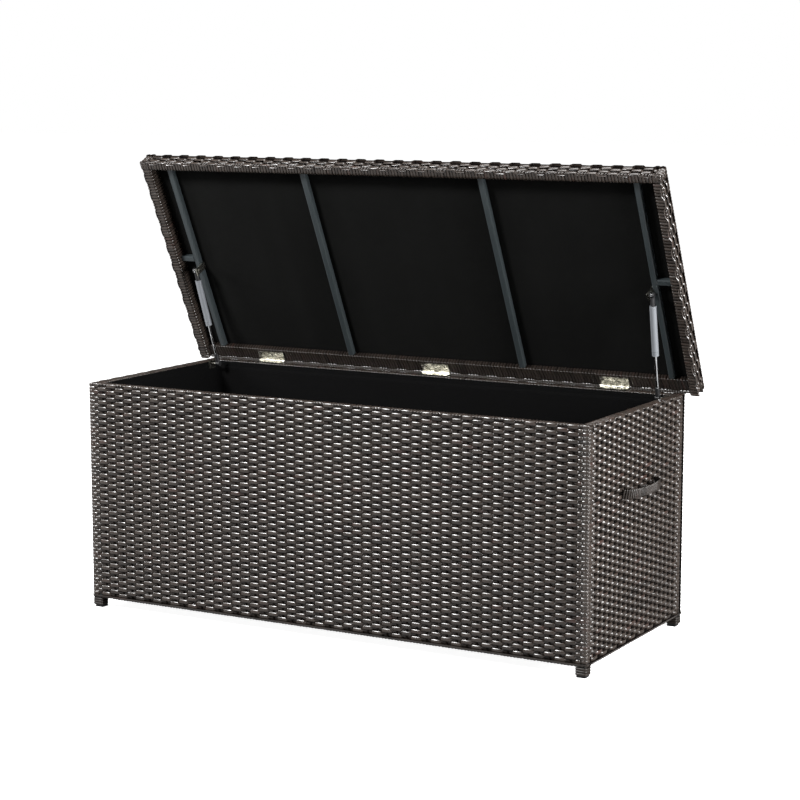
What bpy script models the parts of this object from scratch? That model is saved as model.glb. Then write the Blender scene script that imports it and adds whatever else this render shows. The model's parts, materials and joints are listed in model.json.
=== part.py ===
"""Deck storage box: woven skins on a square-tube frame, with a lid on three hinges and two gas struts.

Metres, +Z up. X runs along the length and Y from front to back. The lid stands open, where its
struts stop it. The origin is on the ground, at the middle of the space the open box takes up.
"""
import math

import bmesh
import bpy
from mathutils import Matrix, Vector

# Driving dimensions
LENGTH = 1.25
DEPTH = 0.51
HEIGHT = 0.523            # ground to the top of the box's rails
GROUND_GAP = 0.022        # bare foot below the weave
TUBE = 0.020              # square tube of the frame, with its wrapping
TUBE_WALL = 0.0015
TUBE_CORNER = 0.0025      # radius of a tube's rounded corners
PLUG_FLANGE = 0.004
PLUG_STEM = 0.016
PLUG_CLEARANCE = 0.0007   # around the stem, which clears the bore's rounded corners
FLOOR_BAR_X = LENGTH / 6
FLOOR_PANEL = 0.004
SKIN = 0.0045             # thickness of the woven skins
GAP = 0.0003              # between pieces that touch
OPEN_ANGLE = math.radians(63.8)

LID_OVERHANG_SIDE = 0.036
LID_OVERHANG_FRONT = 0.038
LID_OVERHANG_BACK = 0.003
LID_THICKNESS = 0.039
LID_TOP = 0.005           # woven top of the lid
LID_SKIRT = 0.014         # front and side rails hang this far below the back rail
LID_RAIL = 0.025          # width of the front and side rails
LID_BACK_RAIL = 0.032
CROSSBAR = 0.014
CROSSBAR_RECESS = 0.016   # crossbar's lower face above the skirt's lower edge
INNER_CROSSBAR_X = 0.227
OUTER_CROSSBAR_X = 0.594
STUB_FORWARD = 0.275      # stub bars, from the hinge axis
LINER = 0.0015
LINER_CLEARANCE = 0.0015  # between the liner bag and the rails
LINER_CORNER = 0.006
LID_LINER_MARGIN = 0.0005

HINGE_GAP = 0.006         # between the box's rails and the lid's back rail
HINGE_SPACING = 0.455
HINGE_WIDTH = 0.072
LEAF_REACH = 0.024
LEAF_THICKNESS = 0.0016
LEAF_OFFSET = 0.0011      # from the axis plane to a leaf's inner face
KNUCKLE_RADIUS = 0.0028
PIN_RADIUS = 0.00125
KNUCKLES = 5
TAB_OVERLAP = 0.001       # of a knuckle's tab with its leaf

UPPER_BALL = Vector((0.5925, 0.254, -0.0115))   # in the lid: x, forward of the axis, above the axis
LOWER_BALL = Vector((0.5795, 0.460, 0.516))     # in the box: x, behind the front face, height
CYLINDER_START = 0.025    # distances along the strut from the upper ball
CYLINDER_END = 0.142
ROD_INNER_END = 0.122
CYLINDER_RADIUS = 0.0075
CYLINDER_WALL = 0.0012
CYLINDER_HEAD = 0.003     # solid end of the cylinder
GUIDE_LENGTH = 0.006
PISTON_LENGTH = 0.008
ROD_RADIUS = 0.003
BALL_RADIUS = 0.004
STUD_RADIUS = 0.0023
SOCKET_RADIUS = 0.0063
SOCKET_HALF_WIDTH = 0.0048
SOCKET_STEM_RADIUS = 0.0052
NECK_CLEARANCE = 0.0006   # around the stud in the socket's mouth
BRACKET_PLATE = 0.003
BRACKET_MARGIN = 0.0005   # plate's edge to the edge of what carries it
LID_BRACKET_HALF = 0.009
LID_BRACKET_HANG = 0.0075
BOX_BRACKET_HALF = 0.013
NUT_RADIUS = 0.005
NUT_LENGTH = 0.004
OPEN_PIVOT_GAP = 0.0029   # side clearance at the lower ball, where the linkage is opened

HANDLE_HEIGHT = 0.355
HANDLE_HALF_SPAN = 0.090
HANDLE_BULGE = 0.030
HANDLE_BAND = 0.021
HANDLE_THICKNESS = 0.005
HANDLE_ROUNDNESS = 2.3
SHARP_ANGLE = math.radians(35)

# Places worked out from the driving dimensions
LID_UNDERSIDE = HINGE_GAP / 2                     # back rail's lower face, above the hinge axis
SKIRT_EDGE = LID_UNDERSIDE - LID_SKIRT
LID_CROWN = SKIRT_EDGE + LID_THICKNESS
RAIL_CROWN = LID_CROWN - LID_TOP - GAP
REAR_REACH = LID_OVERHANG_BACK * math.cos(OPEN_ANGLE) + LID_CROWN * math.sin(OPEN_ANGLE)
FRONT_Y = -(DEPTH + REAR_REACH) / 2
BACK_Y = FRONT_Y + DEPTH
HINGE_AXIS = Vector((0, BACK_Y, HEIGHT + HINGE_GAP / 2))
FRAME_INSET = SKIN + GAP                          # skin's outer face to the frame's outer face
FRAME_X = LENGTH / 2 - FRAME_INSET
FRAME_FRONT = FRONT_Y + FRAME_INSET
FRAME_BACK = BACK_Y - FRAME_INSET
PANEL_UNDERSIDE = GROUND_GAP + TUBE + GAP         # of the floor panel
FLOOR_TOP = PANEL_UNDERSIDE + FLOOR_PANEL
LID_HALF = LENGTH / 2 + LID_OVERHANG_SIDE
LID_INNER_X = LID_HALF - LID_RAIL
LID_FRONT = DEPTH + LID_OVERHANG_FRONT            # forward of the hinge axis
LID_INNER_FRONT = LID_FRONT - LID_RAIL
BACK_RAIL_EDGE = LID_BACK_RAIL - LID_OVERHANG_BACK

SIDES = {"left": -1, "right": 1}


def clear_scene():
    for obj in list(bpy.data.objects):
        bpy.data.objects.remove(obj)


def new_collection(name):
    collection = bpy.data.collections.new(name)
    bpy.context.scene.collection.children.link(collection)
    return collection


def material(name, colour, roughness, metallic=0.0):
    result = bpy.data.materials.new(name)
    result.use_nodes = True
    shader = result.node_tree.nodes["Principled BSDF"]
    shader.inputs["Base Color"].default_value = (*colour, 1.0)
    shader.inputs["Roughness"].default_value = roughness
    shader.inputs["Metallic"].default_value = metallic
    return result


clear_scene()
PARTS = new_collection("deck_storage_box")
CUTTERS = new_collection("cutters")
RATTAN = material("rattan", (0.060, 0.046, 0.040), 0.45)
BLACK_FABRIC = material("black_fabric", (0.008, 0.008, 0.009), 0.9)
FRAME_PAINT = material("frame_paint", (0.045, 0.055, 0.060), 0.4, 0.6)
ZINC = material("zinc", (0.62, 0.60, 0.52), 0.3, 1.0)
SILVER = material("silver_paint", (0.60, 0.62, 0.66), 0.28, 0.9)
CHROME = material("chrome", (0.75, 0.76, 0.78), 0.1, 1.0)
BLACK_PLASTIC = material("black_plastic", (0.012, 0.012, 0.013), 0.45)


def place(name, mesh, finish, location=(0, 0, 0), rotation=(0, 0, 0), parent=None, smooth=False):
    """Make one named part from a mesh."""
    obj = bpy.data.objects.new(name, mesh)
    PARTS.objects.link(obj)
    obj.location = location
    obj.rotation_euler = rotation
    obj.parent = parent
    if not mesh.materials:
        mesh.materials.append(finish)
    if smooth:
        mesh.shade_smooth()
        mesh.set_sharp_from_angle(angle=SHARP_ANGLE)
    return obj


def mesh_from(edit, name):
    mesh = bpy.data.meshes.new(name)
    edit.to_mesh(mesh)
    edit.free()
    return mesh


def cube_mesh(name, size, centre=(0, 0, 0)):
    edit = bmesh.new()
    bmesh.ops.create_cube(edit, size=1.0, matrix=Matrix.Translation(centre) @ Matrix.Diagonal((*size, 1)))
    return mesh_from(edit, name)


def cylinder_mesh(name, radius, length, axis="X", centre=(0, 0, 0), segments=20):
    turn = {"X": Matrix.Rotation(math.pi / 2, 4, "Y"), "Z": Matrix.Identity(4)}[axis]
    edit = bmesh.new()
    bmesh.ops.create_cone(edit, cap_ends=True, segments=segments, radius1=radius, radius2=radius,
                          depth=length, matrix=Matrix.Translation(centre) @ turn)
    return mesh_from(edit, name)


def ball_mesh(name, radius):
    edit = bmesh.new()
    bmesh.ops.create_uvsphere(edit, u_segments=16, v_segments=10, radius=radius)
    return mesh_from(edit, name)


def bevel(obj, width, segments=2):
    modifier = obj.modifiers.new("edges", "BEVEL")
    modifier.width = width
    modifier.segments = segments
    modifier.limit_method = "ANGLE"


def shell(obj, thickness):
    """Give an open surface a wall on its inner side."""
    modifier = obj.modifiers.new("wall", "SOLIDIFY")
    modifier.thickness = thickness
    modifier.offset = -1
    modifier.use_even_offset = True


def box(name, low, high, finish, parent=None, edge=0.001):
    """A box between two corners."""
    low, high = Vector(low), Vector(high)
    obj = place(name, cube_mesh(name, high - low), finish, (low + high) / 2, parent=parent)
    bevel(obj, edge, 1)
    return obj


def square_tube(name, low, high, axis, finish, parent=None, wall=TUBE_WALL):
    """A hollow tube that fills the space between two corners and is open at both ends."""
    low, high = Vector(low), Vector(high)
    edit = bmesh.new()
    bmesh.ops.create_cube(edit, size=1.0, matrix=Matrix.Diagonal((*(high - low), 1)))
    along = "XYZ".index(axis)
    ends = [face for face in edit.faces if abs(face.normal[along]) > 0.5]
    bmesh.ops.delete(edit, geom=ends, context="FACES_ONLY")
    obj = place(name, mesh_from(edit, name), finish, (low + high) / 2, parent=parent)
    bevel(obj, TUBE_CORNER)
    shell(obj, wall)
    return obj


def combined(base, joined=(), cut=()):
    """One mesh made of a base with other meshes joined to it, and then others cut away."""
    obj = bpy.data.objects.new("base", base)
    helpers = [obj]
    CUTTERS.objects.link(obj)
    for operation, meshes in (("UNION", joined), ("DIFFERENCE", cut)):
        for mesh in meshes:
            helper = bpy.data.objects.new("helper", mesh)
            CUTTERS.objects.link(helper)
            helper.hide_render = True
            helper.display_type = "WIRE"
            modifier = obj.modifiers.new(operation, "BOOLEAN")
            modifier.operation = operation
            modifier.solver = "EXACT"
            modifier.object = helper
            helpers.append(helper)
    depsgraph = bpy.context.evaluated_depsgraph_get()
    result = bpy.data.meshes.new_from_object(obj.evaluated_get(depsgraph))
    for helper in helpers:
        bpy.data.objects.remove(helper)
    return result


def turned(name, profile, finish, parent):
    """A turned piece about its parent's Z axis. The profile is a list of (radius, height)."""
    mesh = bpy.data.meshes.new(name)
    points = [(radius, 0, height) for radius, height in profile]
    mesh.from_pydata(points, [(i, i + 1) for i in range(len(points) - 1)], [])
    obj = place(name, mesh, finish, parent=parent)
    screw = obj.modifiers.new("turn", "SCREW")
    screw.axis = "Z"
    screw.steps = 24
    screw.render_steps = 24
    screw.use_merge_vertices = True
    screw.merge_threshold = 0.0001
    screw.use_smooth_shade = True
    return obj


def pivot(name, matrix):
    empty = bpy.data.objects.new(name, None)
    PARTS.objects.link(empty)
    empty.matrix_world = matrix
    return empty


# The box

def make_frame():
    post_top = HEIGHT - TUBE - GAP
    stem = TUBE - 2 * TUBE_WALL - 2 * PLUG_CLEARANCE
    plug = combined(cube_mesh("flange", (TUBE, TUBE, PLUG_FLANGE), (0, 0, PLUG_FLANGE / 2)),
                    [cube_mesh("stem", (stem, stem, PLUG_STEM), (0, 0, PLUG_STEM / 2))])
    rows = {"front": FRAME_FRONT + TUBE / 2, "back": FRAME_BACK - TUBE / 2}
    for end, y in rows.items():
        for side, sign in SIDES.items():
            x = sign * (FRAME_X - TUBE / 2)
            low = (x - TUBE / 2, y - TUBE / 2, PLUG_FLANGE + GAP)
            high = (x + TUBE / 2, y + TUBE / 2, post_top)
            square_tube(f"corner_post_{end}_{side}", low, high, "Z", FRAME_PAINT)
            place(f"foot_plug_{end}_{side}", plug, BLACK_PLASTIC, (x, y, 0))
        low_y, high_y = y - TUBE / 2, y + TUBE / 2
        square_tube(f"top_rail_{end}", (-FRAME_X, low_y, HEIGHT - TUBE), (FRAME_X, high_y, HEIGHT),
                    "X", RATTAN)
        reach = FRAME_X - TUBE - GAP
        square_tube(f"bottom_rail_{end}", (-reach, low_y, GROUND_GAP), (reach, high_y, GROUND_GAP + TUBE),
                    "X", RATTAN)
    low_y = FRAME_FRONT + TUBE + GAP
    high_y = FRAME_BACK - TUBE - GAP
    for side, sign in SIDES.items():
        inner, outer = sorted((sign * (FRAME_X - TUBE), sign * FRAME_X))
        for level, z in (("top", HEIGHT - TUBE), ("bottom", GROUND_GAP)):
            square_tube(f"{level}_rail_{side}", (inner, low_y, z), (outer, high_y, z + TUBE), "Y", RATTAN)
        x = sign * FLOOR_BAR_X
        square_tube(f"floor_bar_{side}", (x - TUBE / 2, low_y, GROUND_GAP),
                    (x + TUBE / 2, high_y, GROUND_GAP + TUBE), "Y", FRAME_PAINT)


def make_skins():
    half = LENGTH / 2
    box("woven_front", (-half, FRONT_Y, GROUND_GAP), (half, FRONT_Y + SKIN, HEIGHT), RATTAN)
    box("woven_back", (-half, BACK_Y - SKIN, GROUND_GAP), (half, BACK_Y, HEIGHT), RATTAN)
    for side, sign in SIDES.items():
        inner, outer = sorted((sign * (half - SKIN), sign * half))
        box(f"woven_{side}", (inner, FRAME_FRONT, GROUND_GAP), (outer, FRAME_BACK, HEIGHT), RATTAN)


def make_floor_and_liner():
    inset = FRAME_X - TUBE - GAP
    low, high = (-inset, FRAME_FRONT, PANEL_UNDERSIDE), (inset, FRAME_BACK, FLOOR_TOP)
    box("floor_panel", low, high, RATTAN)
    clear = TUBE + LINER_CLEARANCE
    low = Vector((clear - FRAME_X, FRAME_FRONT + clear, FLOOR_TOP + GAP))
    high = Vector((FRAME_X - clear, FRAME_BACK - clear, HEIGHT - clear))
    edit = bmesh.new()
    bmesh.ops.create_cube(edit, size=1.0, matrix=Matrix.Diagonal((*(high - low), 1)))
    lid_face = [face for face in edit.faces if face.normal.z > 0.5]
    bmesh.ops.delete(edit, geom=lid_face, context="FACES_ONLY")
    bag = place("liner_bag", mesh_from(edit, "liner_bag"), BLACK_FABRIC, (low + high) / 2)
    bevel(bag, LINER_CORNER)
    shell(bag, LINER)


def make_handle(side, sign):
    """A flat band, bowed out from the side of the box. Its two ends meet the side squarely."""
    steps = 16
    first_angle = math.pi / steps
    edit = bmesh.new()
    bmesh.ops.create_grid(edit, x_segments=steps, y_segments=1, size=0.5)
    for vertex in edit.verts:
        at_end = abs(vertex.co.x) > 0.5 - 0.5 / steps
        angle = min(max(math.pi * (vertex.co.x + 0.5), first_angle), math.pi - first_angle)
        across = abs(math.cos(angle)) ** (2 / HANDLE_ROUNDNESS)
        out = 0 if at_end else abs(math.sin(angle)) ** (2 / HANDLE_ROUNDNESS)
        along = HANDLE_HALF_SPAN * math.copysign(across, -math.cos(angle))
        vertex.co = (sign * HANDLE_BULGE * out, along, vertex.co.y * HANDLE_BAND)
    bmesh.ops.recalc_face_normals(edit, faces=edit.faces)
    outward = max(edit.faces, key=lambda face: abs(face.calc_center_median().x))
    if outward.normal.x * sign < 0:
        bmesh.ops.reverse_faces(edit, faces=edit.faces)
    location = (sign * (LENGTH / 2 + GAP), (FRONT_Y + BACK_Y) / 2, HANDLE_HEIGHT)
    handle = place(f"handle_{side}", mesh_from(edit, f"handle_{side}"), RATTAN, location, smooth=True)
    shell(handle, HANDLE_THICKNESS)


# Hinges: local X along the pin, -Y towards the front

def leaf_mesh(above):
    """A hinge leaf with its knuckles. The lid's leaf is above the pin, and the box's leaf below."""
    level = LEAF_OFFSET + LEAF_THICKNESS / 2
    level = level if above else -level
    knuckle = HINGE_WIDTH / KNUCKLES
    root = KNUCKLE_RADIUS + GAP
    tab = root + TAB_OVERLAP
    plate = cube_mesh("plate", (HINGE_WIDTH, LEAF_REACH - root, LEAF_THICKNESS),
                      (0, -(LEAF_REACH + root) / 2, level))
    joined = []
    for index in range(1 if above else 0, KNUCKLES, 2):
        x = (index + 0.5) * knuckle - HINGE_WIDTH / 2
        width = knuckle - 2 * GAP
        joined.append(cube_mesh("tab", (width, tab, LEAF_THICKNESS), (x, -tab / 2, level)))
        joined.append(cylinder_mesh("knuckle", KNUCKLE_RADIUS, width, centre=(x, 0, 0)))
    bore = cylinder_mesh("bore", PIN_RADIUS + GAP, HINGE_WIDTH * 1.2)
    return combined(plate, joined, [bore])


def make_hinges(lid_pivot):
    box_leaf = leaf_mesh(above=False)
    lid_leaf = leaf_mesh(above=True)
    pin = cylinder_mesh("pin", PIN_RADIUS, HINGE_WIDTH)
    for name, x in (("left", -HINGE_SPACING), ("middle", 0.0), ("right", HINGE_SPACING)):
        place(f"hinge_body_leaf_{name}", box_leaf, ZINC, HINGE_AXIS + Vector((x, 0, 0)), smooth=True)
        place(f"hinge_pin_{name}", pin, ZINC, HINGE_AXIS + Vector((x, 0, 0)), smooth=True)
        place(f"hinge_lid_leaf_{name}", lid_leaf, ZINC, (x, 0, 0), parent=lid_pivot, smooth=True)


# The lid: its parts hang on an empty on the hinge axis, as they lie when the lid is closed

def lid_span(x, forward, up):
    """Corners in the lid's own frame from ranges of x, distance forward of the axis, and height."""
    return (x[0], -forward[1], up[0]), (x[1], -forward[0], up[1])


def make_lid(lid_pivot):
    rails = (SKIRT_EDGE, RAIL_CROWN)
    inner_x = LID_INNER_X - GAP
    span = lid_span((-inner_x, inner_x), (LID_INNER_FRONT, LID_FRONT), rails)
    square_tube("lid_front_rail", *span, "X", RATTAN, lid_pivot)
    span = lid_span((-inner_x, inner_x), (-LID_OVERHANG_BACK, BACK_RAIL_EDGE), (LID_UNDERSIDE, RAIL_CROWN))
    square_tube("lid_back_rail", *span, "X", RATTAN, lid_pivot)
    bars = (SKIRT_EDGE + CROSSBAR_RECESS, SKIRT_EDGE + CROSSBAR_RECESS + CROSSBAR)
    bar_run = (BACK_RAIL_EDGE + GAP, LID_INNER_FRONT - GAP)
    for side, sign in SIDES.items():
        across = tuple(sorted((sign * LID_INNER_X, sign * LID_HALF)))
        span = lid_span(across, (-LID_OVERHANG_BACK, LID_FRONT), rails)
        square_tube(f"lid_{side}_rail", *span, "Y", RATTAN, lid_pivot)
        for place_name, bar_x in (("inner", INNER_CROSSBAR_X), ("outer", OUTER_CROSSBAR_X)):
            centre = sign * bar_x
            span = lid_span((centre - CROSSBAR / 2, centre + CROSSBAR / 2), bar_run, bars)
            square_tube(f"lid_crossbar_{place_name}_{side}", *span, "Y", FRAME_PAINT, lid_pivot)
        across = sorted((sign * (OUTER_CROSSBAR_X + CROSSBAR / 2 + GAP), sign * (LID_INNER_X - GAP)))
        span = lid_span(across, (STUB_FORWARD - CROSSBAR / 2, STUB_FORWARD + CROSSBAR / 2), bars)
        square_tube(f"lid_stub_bar_{side}", *span, "X", FRAME_PAINT, lid_pivot)
    span = lid_span((-LID_HALF, LID_HALF), (-LID_OVERHANG_BACK, LID_FRONT), (RAIL_CROWN + GAP, LID_CROWN))
    box("lid_woven_top", *span, RATTAN, lid_pivot)
    reach = LID_INNER_X - LID_LINER_MARGIN
    span = lid_span((-reach, reach), (BACK_RAIL_EDGE + LID_LINER_MARGIN, LID_INNER_FRONT - LID_LINER_MARGIN),
                    (bars[1] + GAP, bars[1] + GAP + LINER))
    box("lid_liner", *span, BLACK_FABRIC, lid_pivot, edge=0.0003)


# The gas struts: local Z runs along the strut, from the upper ball to the lower one

def bracket_mesh(low, high, stud_from, stud_to, ball=True):
    """A plate with a stud along X, which ends in a ball and has a nut behind the plate."""
    low, high = Vector(low), Vector(high)
    plate = cube_mesh("plate", high - low, (low + high) / 2)
    direction = 1 if stud_to > stud_from else -1
    middle = (stud_from + stud_to) / 2
    joined = [cylinder_mesh("stud", STUD_RADIUS, abs(stud_to - stud_from), centre=(middle, 0, 0), segments=16)]
    if ball:
        joined.append(ball_mesh("ball", BALL_RADIUS))
        nut_x = stud_from + direction * (NUT_LENGTH / 2)
        joined.append(cylinder_mesh("nut", NUT_RADIUS, NUT_LENGTH, centre=(nut_x, 0, 0), segments=6))
    return combined(plate, joined)


def make_lid_bracket(side, sign, lid_pivot):
    """The plate lies against the end crossbar's inner side, and its stud points outwards."""
    face = OUTER_CROSSBAR_X - CROSSBAR / 2 - GAP - UPPER_BALL.x      # plate's outer face, from the ball
    bar_top = SKIRT_EDGE + CROSSBAR_RECESS + CROSSBAR - UPPER_BALL.z
    inner, outer = sorted((sign * (face - BRACKET_PLATE), sign * face))
    low = (inner, -LID_BRACKET_HALF, -LID_BRACKET_HANG)
    high = (outer, LID_BRACKET_HALF, bar_top - BRACKET_MARGIN)
    stud_start = sign * (face - BRACKET_PLATE - NUT_LENGTH + BRACKET_MARGIN)
    mesh = bracket_mesh(low, high, stud_start, 0.0)
    location = (sign * UPPER_BALL.x, -UPPER_BALL.y, UPPER_BALL.z)
    place(f"strut_lid_bracket_{side}", mesh, ZINC, location, parent=lid_pivot, smooth=True)


def make_box_bracket(side, sign):
    """The plate lies against the side rail's inner face. Its stud stops short of the socket."""
    wall = FRAME_X - TUBE - GAP - LOWER_BALL.x
    rise = HEIGHT - BRACKET_MARGIN - LOWER_BALL.z
    inner, outer = sorted((sign * (wall - BRACKET_PLATE), sign * wall))
    low = (inner, -BOX_BRACKET_HALF, rise - TUBE + 2 * BRACKET_MARGIN)
    high = (outer, BOX_BRACKET_HALF, rise)
    stud_end = sign * (SOCKET_HALF_WIDTH + OPEN_PIVOT_GAP)
    mesh = bracket_mesh(low, high, sign * (wall - BRACKET_PLATE / 2), stud_end, ball=False)
    location = (sign * LOWER_BALL.x, FRONT_Y + LOWER_BALL.y, LOWER_BALL.z)
    place(f"strut_box_bracket_{side}", mesh, ZINC, location, smooth=True)


def socket_mesh():
    """A ball socket with a stem along +Z. It opens towards +X."""
    body = cylinder_mesh("body", SOCKET_RADIUS, 2 * SOCKET_HALF_WIDTH, segments=24)
    stem_length = CYLINDER_START - GAP - BALL_RADIUS
    stem = cylinder_mesh("stem", SOCKET_STEM_RADIUS, stem_length, "Z",
                         (0, 0, BALL_RADIUS + stem_length / 2), segments=24)
    neck_length = 2 * SOCKET_HALF_WIDTH
    neck = cylinder_mesh("neck", STUD_RADIUS + NECK_CLEARANCE, neck_length,
                         centre=(neck_length / 2, 0, 0), segments=16)
    return combined(body, [stem], [ball_mesh("cavity", BALL_RADIUS + GAP), neck])


def make_strut(side, sign, lid_pivot, socket):
    upper = lid_pivot.matrix_world @ Vector((sign * UPPER_BALL.x, -UPPER_BALL.y, UPPER_BALL.z))
    lower = Vector((sign * LOWER_BALL.x, FRONT_Y + LOWER_BALL.y, LOWER_BALL.z))
    along = (lower - upper).normalized()
    reach = (lower - upper).length
    sideways = Vector((1, 0, 0))
    across = along.cross(sideways).normalized()
    turn = Matrix((across.cross(along), across, along)).transposed().to_4x4()
    strut = pivot(f"strut_pivot_{side}", Matrix.Translation(upper) @ turn)
    bore = CYLINDER_RADIUS - CYLINDER_WALL
    head = CYLINDER_START + CYLINDER_HEAD
    guide = CYLINDER_END - GUIDE_LENGTH
    turned(f"strut_cylinder_{side}",
           [(0, head), (bore, head), (bore, guide), (ROD_RADIUS + GAP, guide), (ROD_RADIUS + GAP, CYLINDER_END),
            (CYLINDER_RADIUS, CYLINDER_END), (CYLINDER_RADIUS, CYLINDER_START), (0, CYLINDER_START)],
           SILVER, strut)
    rod_end = reach - CYLINDER_START
    piston_end = ROD_INNER_END + PISTON_LENGTH
    turned(f"strut_rod_{side}",
           [(0, rod_end), (ROD_RADIUS, rod_end), (ROD_RADIUS, piston_end), (bore - GAP, piston_end),
            (bore - GAP, ROD_INNER_END), (0, ROD_INNER_END)], CHROME, strut)
    towards_lid_plate = 0 if sign < 0 else math.pi
    place(f"strut_upper_socket_{side}", socket, BLACK_PLASTIC, rotation=(0, 0, towards_lid_plate),
          parent=strut, smooth=True)
    towards_wall = (0, math.pi, 0) if sign < 0 else (math.pi, 0, 0)
    place(f"strut_lower_socket_{side}", socket, BLACK_PLASTIC, (0, 0, reach), towards_wall, strut, smooth=True)


def main():
    make_frame()
    make_skins()
    make_floor_and_liner()
    lid_pivot = pivot("lid_pivot", Matrix.Translation(HINGE_AXIS) @ Matrix.Rotation(-OPEN_ANGLE, 4, "X"))
    make_hinges(lid_pivot)
    make_lid(lid_pivot)
    bpy.context.view_layer.update()
    socket = socket_mesh()
    for side, sign in SIDES.items():
        make_handle(side, sign)
        make_lid_bracket(side, sign, lid_pivot)
        make_box_bracket(side, sign)
        make_strut(side, sign, lid_pivot, socket)


main()
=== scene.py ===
"""The looks of the deck storage box: woven strands, wrapped rails, fabric, fittings, light and camera.

Metres, +Z up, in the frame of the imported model. Woven faces are built from separate strands, each a
curved ribbon that follows a path. A path has a place, an outward direction and a sideways direction.
"""
import json
import math

import bmesh
import bpy
import numpy as np
from mathutils import Matrix, Vector


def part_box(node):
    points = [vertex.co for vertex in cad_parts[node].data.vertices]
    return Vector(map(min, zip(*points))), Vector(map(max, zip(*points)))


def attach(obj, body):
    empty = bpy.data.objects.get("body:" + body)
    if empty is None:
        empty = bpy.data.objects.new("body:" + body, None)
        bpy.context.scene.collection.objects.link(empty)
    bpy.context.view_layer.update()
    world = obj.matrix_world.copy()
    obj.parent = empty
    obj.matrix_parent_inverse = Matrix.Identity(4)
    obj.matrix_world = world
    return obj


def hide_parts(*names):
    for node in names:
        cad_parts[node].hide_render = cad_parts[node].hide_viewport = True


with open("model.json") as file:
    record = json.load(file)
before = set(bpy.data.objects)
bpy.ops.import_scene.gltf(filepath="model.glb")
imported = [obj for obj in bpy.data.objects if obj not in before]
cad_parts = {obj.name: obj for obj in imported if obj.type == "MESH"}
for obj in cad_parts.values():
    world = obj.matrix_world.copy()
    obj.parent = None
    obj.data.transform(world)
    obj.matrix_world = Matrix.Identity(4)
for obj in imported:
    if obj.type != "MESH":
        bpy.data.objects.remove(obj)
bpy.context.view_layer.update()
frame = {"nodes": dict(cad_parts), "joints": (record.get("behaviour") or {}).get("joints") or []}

OPEN_ANGLE = math.radians(63.8)  # how far the lid stands open in the frame
SIDES = {"left": -1, "right": 1}
ENDS = {"front": -1, "back": 1}
BOX_SKINS = ("woven_front", "woven_back", "woven_left", "woven_right")
RAIL = 0.020  # side of the box frame's square tube

# A strand, and its section in widths and rises
STRAND_WIDTH = 0.0091
STRAND_RISE = 0.0016  # from a strand's edges to its crown
PROFILE_ACROSS = np.array([-0.5, -0.40, 0.0, 0.40, 0.5])
PROFILE_RISE = np.array([-1.0, -0.42, 0.0, -0.42, -1.0])
EDGE_SHADE_DEPTH = 2 * np.abs(PROFILE_ACROSS)  # painted shade on each strand's edge strips, where strands lie side by side
PAINTED_SHADE_FROM = 0.78  # depth from which a strand takes the darker rattan, which is painted shade

# The weave
ROW_PITCH = 0.00765
COLUMN_PITCH = 0.0240
WAVE_DEPTH = 0.0050  # from the strand in front of a stake to the one behind it
CREST_DEPTH = 0.0004  # crown of a front strand, below the CAD's outer face
STAKE_WIDTH = 0.0040
STAKE_DEPTH = 0.42  # a stake's least depth, in wave depths
STAKE_SWAY = 0.22  # how far it sways from there, in wave depths
SHADE_SHEET_BEHIND = 0.0016  # from the deepest strand to the near-black sheet of painted shade
SHADE_SHEET_MARGIN = 0.002
LONG_SQUARENESS = 2.8  # 1 is a plain wave. More gives flatter crests and steeper steps.
LONG_STEPS = (-0.5, -0.43, -0.36, 0.0, 0.36, 0.43)  # a strand's points, in columns from a stake
LID_TOP_STEPS = (-0.5, -0.38, 0.0, 0.38)  # fewer points on the lid's large top
SHORT_STEPS = (-0.5, -0.43, -0.36, -0.18, 0.18, 0.36, 0.43)
SHORT_FACE = {"width": 0.0080, "squareness": 1.4, "steps": SHORT_STEPS}

# Edges of a woven face
FACE_BEND = 0.0045  # radius of the bend at a strand's ends
FACE_TAIL = 0.0018  # straight end behind that bend
BEND_POINTS = 6
EDGE_TUBE = 0.0160  # plain run over the frame's edge tube
EDGE_COLUMN = 0.0095  # narrow column beside it
TUBE_POINTS = (0.45, 0.6, 0.75, 0.9)  # a strand's points over the tube, as shares of its run
TUBE_FADE = 0.35  # share of that run over which the weave flattens
TUBE_GROOVE = 0.0018  # depth of the grooves beside the edge tube's crown
POST_SWING = 0.75  # share of the wave depth that is left beside a corner post
TOP_MARGIN = 0.0011  # keeps the highest strand's upper edge below the face's top
EDGE_CLEARANCE = 0.0005  # the bent strands along an upper edge lie this much lower
EDGE_STEADINESS = 0.2  # and roll this much of what others do
HEM_ROLL = 0.85  # how far a face's lowest strand turns under
BOX_EDGE = 0.0035  # bend radius of a box face's upper edge
LID_EDGE = 0.006  # and of the lid's top
LID_TAIL = 0.002
SIDE_START = 0.0096  # from the front face to where a side face's strands begin
LID_SIDE_START = 0.007

# Unevenness of hand work, as standard deviations
ROW_SHIFT = 0.00022
ROW_SINK = 0.00012
ROW_WANDER = 0.00016
ROW_ROLL = 0.07
WRAP_SHIFT = 0.00018
WRAP_SINK = 0.0002
WRAP_ROLL = 0.06
SHORT_UNEVENNESS = 0.5  # on the box's short faces

# Wrapped rails, feet and cords
WRAP_PITCH = 0.00765
WRAP_RISE = 0.0024
WRAP_LAP = 1.04  # width of a strand that lies beside others, in pitches
WRAP_START = 0.0006  # from a rail's outer face to where a wrap begins
WRAP_LIP = 0.004  # height of a wrap's outer end
WRAP_SLANT = 0.002  # of the box's top wraps, along the rail
WRAP_BEND = 0.0035  # at a rail's outer lower edge
WRAP_TOP_BEND = 0.003
WRAP_INNER_BEND = 0.004
LID_INNER_BEND = 0.007
LID_BACK_BEND = 0.003
LID_BACK_SLANT = 0.012  # of the lid's back wraps, along the rail
PATH_STEP = 0.0035  # longest step along a wrap's straight runs
ARC_STEPS = 4
FOOT_RINGS = 3
FOOT_CORNER = 0.0045
FOOT_WRAP_THICK = 0.0020  # from the post's inner faces to a ring's crown
FOOT_WRAP_RISE = 0.0012  # from the post's lower end to the first ring
FOOT_STEP = 0.006
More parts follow.
